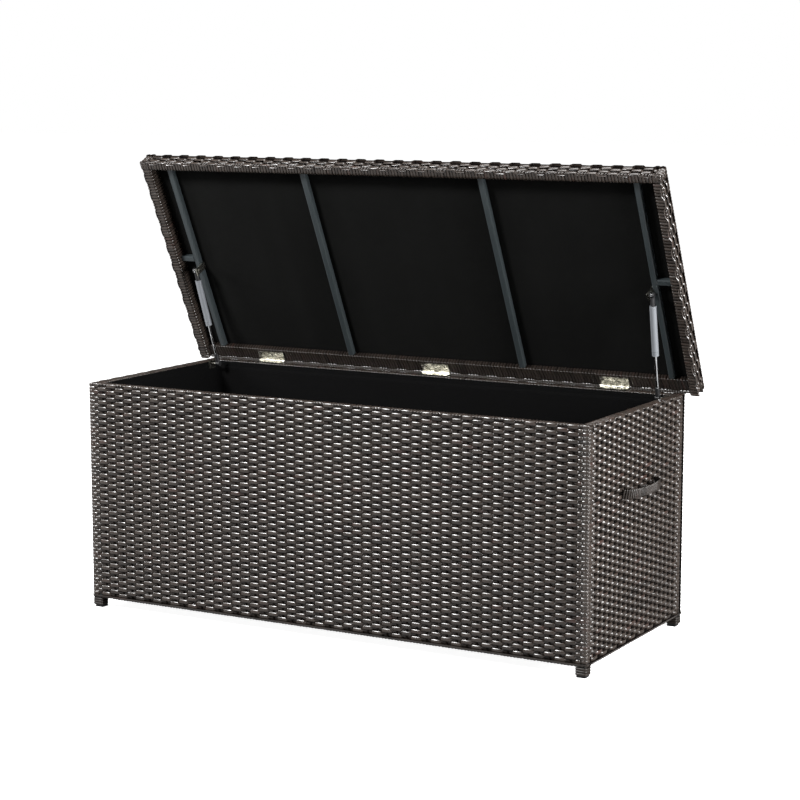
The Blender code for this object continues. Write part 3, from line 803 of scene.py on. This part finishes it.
def box_rails(rng):
    """The top rails' wraps run over the top and down inside. The bottom rails' wraps run underneath."""
    low, high = corners(*BOX_SKINS)
    rail_low, _ = corners(*(f"top_rail_{place}" for place in (*ENDS, *SIDES)))
    skin = rail_low.y - low.y
    inner = skin + RAIL
    length, depth = high.x - low.x, high.y - low.y
    tops = [(WRAP_START, high.z - WRAP_BEND), (WRAP_START, high.z), (inner, high.z), (inner, high.z - RAIL)]
    bottoms = [(inner, low.z + RAIL), (inner, low.z), (WRAP_START, low.z), (WRAP_START, low.z + WRAP_LIP)]
    up = (0, 0, 1)
    runs = {}
    for place, way in ENDS.items():
        start = (high.x, low.y, 0) if way < 0 else (low.x, high.y, 0)
        runs[place] = (axes((way, 0, 0), (0, -way, 0), up, start), length)
    for side, sign in SIDES.items():
        start = (high.x, low.y + skin + RAIL, 0) if sign > 0 else (low.x, high.y - skin - RAIL, 0)
        runs[side] = (axes((0, sign, 0), (-sign, 0, 0), up, start), depth - 2 * inner)
    for place, (local, run) in runs.items():
        over = wrapped_rail(f"top_wraps_{place}", local, run, tops, (WRAP_TOP_BEND, WRAP_INNER_BEND), rng,
                            slant=WRAP_SLANT)
        finish_piece(over, "box", "rattan", f"top_rail_{place}")
        under = wrapped_rail(f"bottom_wraps_{place}", local, run, bottoms, (WRAP_INNER_BEND, WRAP_BEND), rng)
        finish_piece(under, "box", "rattan", f"bottom_rail_{place}")


def plan_corner(low, high, sign, way):
    """The corner of a box, seen from above, that lies towards sign in X and way in Y."""
    return Vector((high.x if sign > 0 else low.x, high.y if way > 0 else low.y))


def foot_wraps(rng):
    """Rings of strand round each foot, between its plug and the woven faces."""
    skin_low, skin_high = corners(*BOX_SKINS)
    for side, sign in SIDES.items():
        for place, way in ENDS.items():
            post_low, post_high = corners(f"corner_post_{place}_{side}")
            outward = Vector((sign, way))
            inner = plan_corner(post_low, post_high, -sign, -way) - outward * FOOT_WRAP_THICK
            outer = plan_corner(skin_low, skin_high, sign, way) - outward * CREST_DEPTH
            half = np.array([abs(a) / 2 for a in (outer - inner)])
            loop, _ = rectangle_loop(half[0], half[1], FOOT_CORNER, FOOT_STEP)
            from_core = loop - np.clip(loop, FOOT_CORNER - half, half - FOOT_CORNER)
            bottom = post_low.z + FOOT_WRAP_RISE
            pitch = (skin_low.z - bottom) / FOOT_RINGS
            centre = np.zeros((FOOT_RINGS, len(loop), 3))
            centre[..., :2] = loop + np.array((inner + outer) / 2)
            centre[..., 2] = (bottom + (np.arange(FOOT_RINGS) + 0.5) * pitch)[:, None]
            out = np.zeros_like(centre)
            out[..., :2] = from_core / np.linalg.norm(from_core, axis=1, keepdims=True)
            upright = np.broadcast_to([0.0, 0.0, 1.0], centre.shape)
            part = ribbons(centre, out, upright, pitch * WRAP_LAP, STRAND_RISE, rng, BOX)
            finish_rings(f"foot_wraps_{place}_{side}", part, "box")


# The lid

def lid_faces(rng):
    rails = (f"lid_{place}_rail" for place in (*ENDS, *SIDES))
    low, high = corners("lid_woven_top", *rails, local=LID)
    length, depth = high.x - low.x, high.y - low.y
    skirt = high.z - low.z - LID_EDGE
    local = LID @ axes((1, 0, 0), (0, 1, 0), (0, 0, 1), (low.x, low.y, high.z))
    top = woven_face("weave_lid_top", local, length, depth, rng, edge=LID_EDGE, bend=LID_EDGE, tail=LID_TAIL,
                     steps=LID_TOP_STEPS)
    finish_face(top, "lid", "lid_woven_top")
    back_low = corners("lid_back_rail", local=LID)[0].z
    back_height = high.z - back_low - LID_EDGE
    for place, origin, height in (("front", low, skirt), ("back", (high.x, high.y, back_low), back_height)):
        way = ENDS[place]
        local = LID @ axes((-way, 0, 0), (0, 0, 1), (0, way, 0), origin)
        finish_face(woven_face(f"weave_lid_{place}", local, length, height, rng), "lid")
    for side, sign in SIDES.items():
        local = LID @ side_axes(low, high, sign, LID_SIDE_START)
        face = woven_face(f"weave_lid_{side}", local, depth - 2 * LID_SIDE_START, skirt, rng, **SHORT_FACE)
        finish_face(face, "lid")


def lid_rail(place, width, along, inward, origin, run, rng, bend=LID_INNER_BEND, **looks):
    """Wraps run from the outer lower corner, under the rail and up its inner face."""
    low, high = corners(f"lid_{place}_rail", local=LID)
    outline = [(width, high.z), (width, low.z), (WRAP_START, low.z), (WRAP_START, low.z + WRAP_LIP)]
    local = LID @ axes(along, inward, (0, 0, 1), origin)
    wraps = wrapped_rail(f"wraps_lid_{place}", local, run, outline, (bend, WRAP_BEND), rng, **looks)
    finish_piece(wraps, "lid", "rattan", f"lid_{place}_rail")


def lid_rails(rng):
    front_low, front_high = corners("lid_front_rail", local=LID)
    back_low, back_high = corners("lid_back_rail", local=LID)
    left_low, left_high = corners("lid_left_rail", local=LID)
    length = -2 * left_low.x
    width = front_high.y - front_low.y
    lid_rail("front", width, (-1, 0, 0), (0, 1, 0), (length / 2, front_low.y, 0), length, rng)
    # The back rail's wraps take the duller strand, whose darker tone is painted shade for the lid's shadow.
    lid_rail("back", back_high.y - back_low.y, (1, 0, 0), (0, -1, 0), (-length / 2, back_high.y, 0), length,
             rng, bend=LID_BACK_BEND, slant=LID_BACK_SLANT, material=RATTAN_DULL_PAINTED_SHADE)
    for side, sign in SIDES.items():
        origin = (sign * length / 2, left_low.y if sign > 0 else left_high.y, 0)
        lid_rail(side, width, (0, sign, 0), (-sign, 0, 0), origin, left_high.y - left_low.y, rng)


def edge_cord(name, local, length, radius, body, rng):
    """A wrapped cord of strand rings. local maps (along, across, up) from its start to the scene."""
    count = round(length / CORD_PITCH)
    pitch = length / count
    angles = np.arange(CORD_SIDES) * math.tau / CORD_SIDES
    normals = np.stack([np.cos(angles), np.sin(angles)], axis=1)
    along = ((np.arange(count) + 0.5) * pitch)[:, None] + CORD_SLANT * pitch * np.cos(angles)
    centre, out, side = paths_round(along, radius * normals, normals)
    part = ribbons(centre, out, side, pitch, CORD_RISE * radius, rng, local)
    finish_rings(name, part, body)


def hinge_cords(rng):
    """Cords along the lid's lower back edge and the box's upper back edge close the hinge gap."""
    upright = ((1, 0, 0), (0, 1, 0), (0, 0, 1))
    low, high = corners("lid_back_rail", local=LID)
    lid_edge = LID @ axes(*upright, (low.x, high.y - LID_CORD_IN, low.z - LID_CORD_UNDER))
    edge_cord("lid_hinge_cord", lid_edge, high.x - low.x, LID_CORD, "lid", rng)
    low, high = corners("woven_back")
    box_edge = axes(*upright, (low.x, high.y + BOX_CORD_BEHIND, high.z))
    edge_cord("box_hinge_cord", box_edge, high.x - low.x, BOX_CORD, "box", rng)


# Handles

def handle_bow(half_span, bulge):
    """The band's middle line in plan, from end to end, and the distance run to each point."""
    t = np.linspace(0, math.pi, BOW_POINTS)
    power = 2 / HANDLE_ROUNDNESS
    across = np.abs(np.cos(t)) ** power * np.sign(-np.cos(t)) * (half_span - HANDLE_THICK / 2)
    out = np.abs(np.sin(t)) ** power * (bulge - HANDLE_THICK / 2)
    run = np.concatenate([[0], np.cumsum(np.hypot(np.diff(across), np.diff(out)))])
    return across, out, run


def band_section(half):
    """Points and normals round the band's flat section, whose half sizes are given."""
    steps = np.linspace(0, math.tau, BAND_POINTS, endpoint=False)
    circle = np.stack([np.cos(steps), np.sin(steps)], axis=1)
    ring = half * np.sign(circle) * np.abs(circle) ** BAND_EXPONENT
    slight = 1e-5 * (ring / half ** 2)      # keeps a direction on the section's flat parts
    normals = ring - np.clip(ring, BAND_CORNER - half, half - BAND_CORNER) + slight
    return ring, normals / np.linalg.norm(normals, axis=1, keepdims=True)


def handle(side, sign, rng):
    """Strands wound side by side round a flat bowed band."""
    low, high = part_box(f"handle_{side}")
    across, out, run = handle_bow((high[1] - low[1]) / 2, high[0] - low[0])
    half = np.array([HANDLE_THICK / 2 - CREST_DEPTH, (high[2] - low[2]) / 2 - CREST_DEPTH])
    ring, normals = band_section(half)
    count = round(run[-1] / HANDLE_PITCH)
    at = (np.arange(count) + 0.5) * run[-1] / count
    slant = HANDLE_SLANT * HANDLE_PITCH * np.sign(ring[:, 0]) * ring[:, 1] / half[1]
    station = np.clip(at[:, None] + slant[None], 0, run[-1])
    level = np.zeros_like(station)
    slopes = [np.interp(station, run, np.gradient(line, run)) for line in (out, across)]
    tangent = np.stack([*slopes, level], axis=-1)
    tangent /= np.linalg.norm(tangent, axis=-1, keepdims=True)
    outward = np.stack([tangent[..., 1], -tangent[..., 0], level], axis=-1)
    middle = np.stack([np.interp(station, run, out), np.interp(station, run, across), level], axis=-1)
    centre = middle + outward * ring[None, :, :1]
    centre[..., 2] = ring[None, :, 1]
    out_way = outward * normals[None, :, :1]
    out_way[..., 2] = normals[None, :, 1]
    foot = (low[0] if sign > 0 else high[0], (low[1] + high[1]) / 2, (low[2] + high[2]) / 2)
    local = Matrix.Translation(foot) @ Matrix.Diagonal((sign, 1, 1, 1))
    part = ribbons(centre, out_way, tangent, HANDLE_PITCH, HANDLE_RISE, rng, local)
    piece = finish_rings(f"handle_wraps_{side}", part, "box", f"handle_{side}")
    if sign > 0:
        piece.data.flip_normals()


# Fabric

def grid_mesh(name, places, material, wrap=False):
    """A smooth sheet from points of shape (rows, columns, 3)."""
    rows, columns, _ = places.shape
    edit = bmesh.new()
    verts = [edit.verts.new(p) for p in places.reshape(-1, 3)]
    last = columns if wrap else columns - 1
    for r in range(rows - 1):
        for c in range(last):
            d = (c + 1) % columns
            edit.faces.new((verts[r * columns + c], verts[r * columns + d],
                            verts[(r + 1) * columns + d], verts[(r + 1) * columns + c]))
    bmesh.ops.remove_doubles(edit, verts=edit.verts, dist=1e-5)
    for face in edit.faces:
        face.smooth = True
    return from_bmesh(name, edit, material)


def soft_waves(rng, u, v, count, shortest, longest, stretch):
    """Smooth wrinkles: a sum of waves with random lengths and headings, between 0 and 1."""
    total = np.zeros(np.broadcast(u, v).shape)
    for _ in range(count):
        length = rng.uniform(shortest, longest)
        heading = rng.normal(0, 0.35)
        total = total + np.sin(math.tau * (u * math.cos(heading) + v * stretch * math.sin(heading)) / length
                               + rng.uniform(0, math.tau))
    total = total / (2 * math.sqrt(count / 2))
    return np.clip(0.5 + 0.5 * total, 0, 1)


def rectangle_loop(half_x, half_y, radius, spacing):
    """Points round a rectangle with rounded corners, and the distance run to each."""
    points = []
    arc_steps = 5
    centres = ((half_x - radius, half_y - radius), (radius - half_x, half_y - radius),
               (radius - half_x, radius - half_y), (half_x - radius, radius - half_y))
    for quarter, (x, y) in enumerate(centres):
        for step in range(arc_steps + 1):
            angle = (quarter + step / arc_steps) * math.pi / 2
            points.append((x + radius * math.cos(angle), y + radius * math.sin(angle)))
        next_x, next_y = centres[(quarter + 1) % 4]
        angle = (quarter + 1) * math.pi / 2
        end = np.array((next_x + radius * math.cos(angle), next_y + radius * math.sin(angle)))
        start = np.array(points[-1])
        pieces = math.ceil(np.linalg.norm(end - start) / spacing)
        points.extend(tuple(start + (end - start) * k / pieces) for k in range(1, pieces))
    points = np.array(points)
    run = np.concatenate([[0], np.cumsum(np.linalg.norm(np.diff(points, axis=0), axis=1))])
    return points, run


def bag_wall(rng, middle, half, top_z, floor_z):
    """The bag's upright walls: a thicker hem, folds that grow below it, and creases near the floor."""
    loop, run = rectangle_loop(half[0], half[1], BAG_CORNER, BAG_STEP)
    wall = np.linspace(top_z, floor_z + BAG_BEND, WALL_ROWS)
    hem_end = top_z - BAG_HEM
    wall = np.insert(wall, 1, [top_z - 0.4 * BAG_HEM, hem_end, hem_end - HEM_STEP])
    wall = -np.sort(-wall)
    inward = np.where(wall < hem_end, HEM_THICK, 0.0)
    slack = np.clip((hem_end - wall) / SLACK_HEIGHT, 0, 1)[:, None]
    folds = soft_waves(rng, run[None, :], wall[:, None], 9, 0.07, 0.30, 0.5)
    creases = soft_waves(rng, wall[:, None], run[None, :], 5, 0.05, 0.16, 0.12)
    near_floor = np.clip(1 - (wall - floor_z) / CREASE_HEIGHT, 0, 1)[:, None]
    push = inward[:, None] + slack * (FOLD_DEPTH * folds + CREASE_DEPTH * creases * near_floor)
    places = np.empty((len(wall), len(loop), 3))
    places[..., :2] = middle + loop[None] * (1 - push[..., None] / half)
    places[..., 2] = wall[:, None]
    return places, loop, push[-1]


def bag_floor(middle, half, loop, push, floor_z):
    """Rings that bend from the walls onto the floor, and shrink to its middle."""
    rings = []
    for angle in np.linspace(0, math.pi / 2, BEND_POINTS)[1:]:
        inset = push + BAG_BEND * (1 - math.cos(angle))
        ring = middle + loop * (1 - inset[:, None] / half)
        level = floor_z + BAG_BEND * (1 - math.sin(angle))
        rings.append(np.column_stack([ring, np.full(len(ring), level)]))
    outline = rings[-1][:, :2]
    for share in np.linspace(0.97, 0.0, FLOOR_RINGS):
        ring = middle + (outline - middle) * share
        rings.append(np.column_stack([ring, np.full(len(ring), floor_z)]))
    return np.array(rings)


def liner_bag(rng):
    """A loose bag of black fabric, held at its top by the rails, that sags into soft wrinkles."""
    low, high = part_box("liner_bag")
    middle = np.array([(low[0] + high[0]) / 2, (low[1] + high[1]) / 2])
    half = np.array([(high[0] - low[0]) / 2 + BAG_OUT_X, (high[1] - low[1]) / 2 - BAG_IN_Y])
    floor_z = low[2] + BAG_LIFT
    top_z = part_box("top_rail_front")[1][2] - BAG_UNDER_RAIL
    wall, loop, push = bag_wall(rng, middle, half, top_z, floor_z)
    places = np.concatenate([wall, bag_floor(middle, half, loop, push, floor_z)])
    ripple = soft_waves(np.random.default_rng(11), places[..., 0], places[..., 1], 8, 0.10, 0.35, 1.0)
    first_flat = len(wall) + BEND_POINTS - 1
    on_floor = np.clip(np.arange(len(places)) - first_flat + 1, 0, 3)[:, None] / 3
    places[..., 2] += RIPPLE_DEPTH * ripple * on_floor
    bag = grid_mesh("liner_bag_fabric", places, BAG_FABRIC_SHADED, wrap=True)
    finish_piece(bag, "box", "black_fabric", "liner_bag")


def lid_liner(rng):
    """Fabric stretched behind the lid's crossbars, a little slack between them."""
    low, high = corners("lid_liner", local=LID)
    names = (f"lid_crossbar_{place}_{side}" for place in ("inner", "outer") for side in SIDES)
    bars = [sum(corner.x for corner in corners(name, local=LID)) / 2 for name in names]
    x, y = np.meshgrid(np.linspace(low.x, high.x, 150), np.linspace(low.y, high.y, 60))
    away = np.min([np.abs(x - bar) for bar in bars], axis=0)
    away = np.minimum(away, np.minimum(x - low.x, high.x - x))
    ends = np.minimum(y - low.y, high.y - y)
    slack = np.clip(away / 0.10, 0, 1) * np.clip(ends / 0.08, 0, 1)
    pulls = soft_waves(rng, x, y, 8, 0.05, 0.20, 0.6)
    free = np.clip(away / 0.02, 0, 1)
    depth = LINER_SAG * slack + LINER_PULL * pulls * free * np.clip(ends / 0.015, 0, 1)
    places = np.stack([x, y, low.z + LINER_LIFT - depth], axis=-1)
    sheet = grid_mesh("lid_liner_fabric", to_scene(LID, places), LID_FABRIC)
    finish_piece(sheet, "lid", "black_fabric", "lid_liner")


# Metal fittings

def lathe(name, profile, local, material, body, slot, segments=28):
    """A turned piece from (radius, height) points about local Z."""
    angles = np.arange(segments) * math.tau / segments
    profile = np.array(profile, float)
    places = np.empty((len(profile), segments, 3))
    places[..., 0] = profile[:, :1] * np.cos(angles)
    places[..., 1] = profile[:, :1] * np.sin(angles)
    places[..., 2] = profile[:, 1:]
    piece = grid_mesh(name, to_scene(local, places), material, wrap=True)
    finish_piece(piece, body, slot)
    return piece


def screw(name, local, body):
    """A pan head with a cross recess. Its seat is at local z = 0 and its crown above it."""
    profile = [(SCREW_RADIUS * across, SCREW_HEIGHT * up) for across, up in SCREW_DOME]
    profile.append((0.9 * SCREW_RADIUS, -SCREW_SEAT))
    head = lathe(name, profile, local, ZINC, body, "zinc", 24)
    length = RECESS_LENGTH * SCREW_RADIUS
    place = local @ Matrix.Translation((0, 0, SCREW_HEIGHT - RECESS_DEPTH))
    # The cross is a thin near-black insert on the head: painted shade standing for the recess.
    for size_x, size_y in ((length, RECESS_WIDTH), (RECESS_WIDTH, length)):
        cross = bmesh.new()
        bmesh.ops.create_cube(cross, size=1.0)
        bmesh.ops.bevel(cross, geom=cross.edges[:], offset=0.08, segments=1, affect="EDGES")
        shape = Matrix.Diagonal((size_x, size_y, RECESS_THICK, 1))
        bmesh.ops.transform(cross, matrix=place @ shape, verts=cross.verts)
        join(head, from_bmesh("recess", cross, RECESS_SHADE))


def hinge_screws():
    """Three screws in each leaf, on the face away from its rail."""
    leaves = (("box", "body", BOX, 1), ("lid", "lid", LID, -1))
    for place in ("left", "middle", "right"):
        pin_low, pin_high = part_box(f"hinge_pin_{place}")
        axis = Vector(((pin_low[0] + pin_high[0]) / 2, HINGE.y, HINGE.z))
        for number in range(3):
            along = (number - 1) * SCREW_SPACING
            inset = SCREW_IN - SCREW_STAGGER * abs(number - 1)
            for body, leaf, local, way in leaves:
                leaf_low, _ = corners(f"hinge_{leaf}_leaf_{place}", local=local)
                level = (local.inverted() @ axis).z - way * LEAF_FACE
                seat = Matrix.Translation((axis.x + along, leaf_low.y + inset, level))
                turn = Matrix.Rotation(0 if way > 0 else math.pi, 4, "X")
                turn = turn @ Matrix.Rotation(0.5 + number, 4, "Z")
                screw(f"screw_{body}_{place}_{number}", local @ seat @ turn, body)


def strut_details(side, sign):
    """A crimped ring and a seal on the cylinder, the lower ball, and the sockets' spring clips."""
    points = np.array([v.co for v in frame["nodes"][f"strut_cylinder_{side}"].data.vertices])
    centre = Vector(points.mean(0))
    along = Vector(np.linalg.svd(points - points.mean(0), full_matrices=False)[2][0])
    along = along if along.z < 0 else -along
    reach = max((Vector(p) - centre).dot(along) for p in points)
    turn = along.to_track_quat("Z", "Y").to_matrix().to_4x4()
    for name, up, profile, material, slot in (("crimp", CRIMP_UP, CRIMP, SILVER, "silver_paint"),
                                              ("seal", SEAL_UP, SEAL, BLACK_PLASTIC, "black_plastic")):
        place = Matrix.Translation(centre + along * (reach - up)) @ turn
        lathe(f"strut_{name}_{side}", profile, place, material, f"{side}_strut", slot)
    lower = Vector((middle_x(f"strut_lower_socket_{side}"),
                    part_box("woven_front")[0][1] + LOWER_BALL_BEHIND, LOWER_BALL_Z))
    upper = joint_place(f"{side}_strut_pivot")
    upper.x = middle_x(f"strut_upper_socket_{side}")
    strut_ball(side, sign, lower)
    clip(f"spring_clip_upper_{side}", upper, along, f"{side}_strut")
    clip(f"spring_clip_lower_{side}", lower, -along, f"{side}_rod")


def middle_x(node):
    low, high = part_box(node)
    return (low[0] + high[0]) / 2


def strut_ball(side, sign, pivot):
    """The ball on the box's bracket, with its neck, which points outwards."""
    outward = Matrix.Rotation(sign * math.pi / 2, 4, "Y")
    steps = np.linspace(0, 0.86 * math.pi, 9)
    ball = [(BALL_RADIUS * math.sin(a), -BALL_RADIUS * math.cos(a)) for a in steps]
    place = Matrix.Translation(pivot) @ outward
    lathe(f"strut_ball_{side}", [*ball, *NECK], place, ZINC, "box", "zinc", 20)


def clip(name, pivot, stem, body):
    """A flat spring that hugs the socket's round end, open towards its stem."""
    away = (-stem).normalized()
    across = Vector((1, 0, 0)).cross(away)
    section = ((-CLIP_WIDTH / 2, CLIP_INNER), (-CLIP_WIDTH / 2, CLIP_OUTER),
               (CLIP_WIDTH / 2, CLIP_OUTER), (CLIP_WIDTH / 2, CLIP_INNER))
    rows = []
    for angle in np.linspace(-CLIP_REACH, CLIP_REACH, 22):
        way = away * math.cos(angle) + across * math.sin(angle)
        flare = CLIP_FLARE * max(0.0, abs(angle) - CLIP_FLARE_FROM)
        rows.append([[*(pivot + way * (CLIP_RADIUS + flare + lift) + Vector((x, 0, 0)))]
                     for x, lift in section])
    piece = grid_mesh(name, np.array(rows), CHROME, wrap=True)
    for polygon in piece.data.polygons:
        polygon.use_smooth = False
    finish_piece(piece, body, "chrome")


def dress_cad_nodes():
    """Gives every CAD node that stays its detailed material."""
    by_slot = {"rattan": FLOOR_BOARD, "frame_paint": FRAME_PAINT, "black_fabric": BAG_FABRIC_SHADED, "zinc": ZINC,
               "silver_paint": SILVER, "chrome": CHROME, "black_plastic": BLACK_PLASTIC}
    for node in frame["nodes"].values():
        for slot in node.material_slots:
            slot.material = by_slot[slot.material.name.split(".")[0]]


# Camera, light and floor

def add_camera():
    data = bpy.data.cameras.new("camera")
    data.lens = CAMERA_LENS
    data.sensor_width = 36.0
    camera = bpy.data.objects.new("camera", data)
    camera.location = CAMERA_PLACE
    camera.rotation_euler = (math.radians(90 - CAMERA_DOWN), 0, math.radians(CAMERA_ROUND))
    bpy.context.scene.collection.objects.link(camera)
    bpy.context.scene.camera = camera


def area_light(name, place, target, width, height, power):
    data = bpy.data.lights.new(name, "AREA")
    data.shape = "RECTANGLE"
    data.size, data.size_y = width, height
    data.energy = power
    light = bpy.data.objects.new(name, data)
    light.location = place
    light.rotation_euler = (Vector(target) - Vector(place)).to_track_quat("-Z", "Y").to_euler()
    bpy.context.scene.collection.objects.link(light)


def add_stage():
    """White surroundings that light the object only a little, and a white floor."""
    world = bpy.data.worlds.new("studio")
    world.use_nodes = True
    tree = world.node_tree
    background = tree.nodes["Background"]
    background.inputs["Color"].default_value = (1.0, 1.0, 1.0, 1.0)
    seen = tree.nodes.new("ShaderNodeLightPath").outputs["Is Camera Ray"]
    strength = tree.nodes.new("ShaderNodeMapRange")
    strength.inputs["To Min"].default_value = AMBIENT
    strength.inputs["To Max"].default_value = 1.0
    tree.links.new(seen, strength.inputs["Value"])
    tree.links.new(strength.outputs["Result"], background.inputs["Strength"])
    bpy.context.scene.world = world
    edit = bmesh.new()
    bmesh.ops.create_grid(edit, x_segments=1, y_segments=1, size=FLOOR_SIZE)
    from_bmesh("floor", edit, floor_material())
    bpy.context.scene.view_settings.view_transform = "Standard"


def main():
    rng = np.random.default_rng(7)
    add_camera()
    add_stage()
    for name, settings in LIGHTS.items():
        area_light(name, *settings)
    box_faces(rng)
    box_rails(rng)
    foot_wraps(rng)
    lid_faces(rng)
    lid_rails(rng)
    hinge_cords(rng)
    for side, sign in SIDES.items():
        handle(side, sign, rng)
        strut_details(side, sign)
    liner_bag(rng)
    lid_liner(rng)
    hinge_screws()
    dress_cad_nodes()


main()
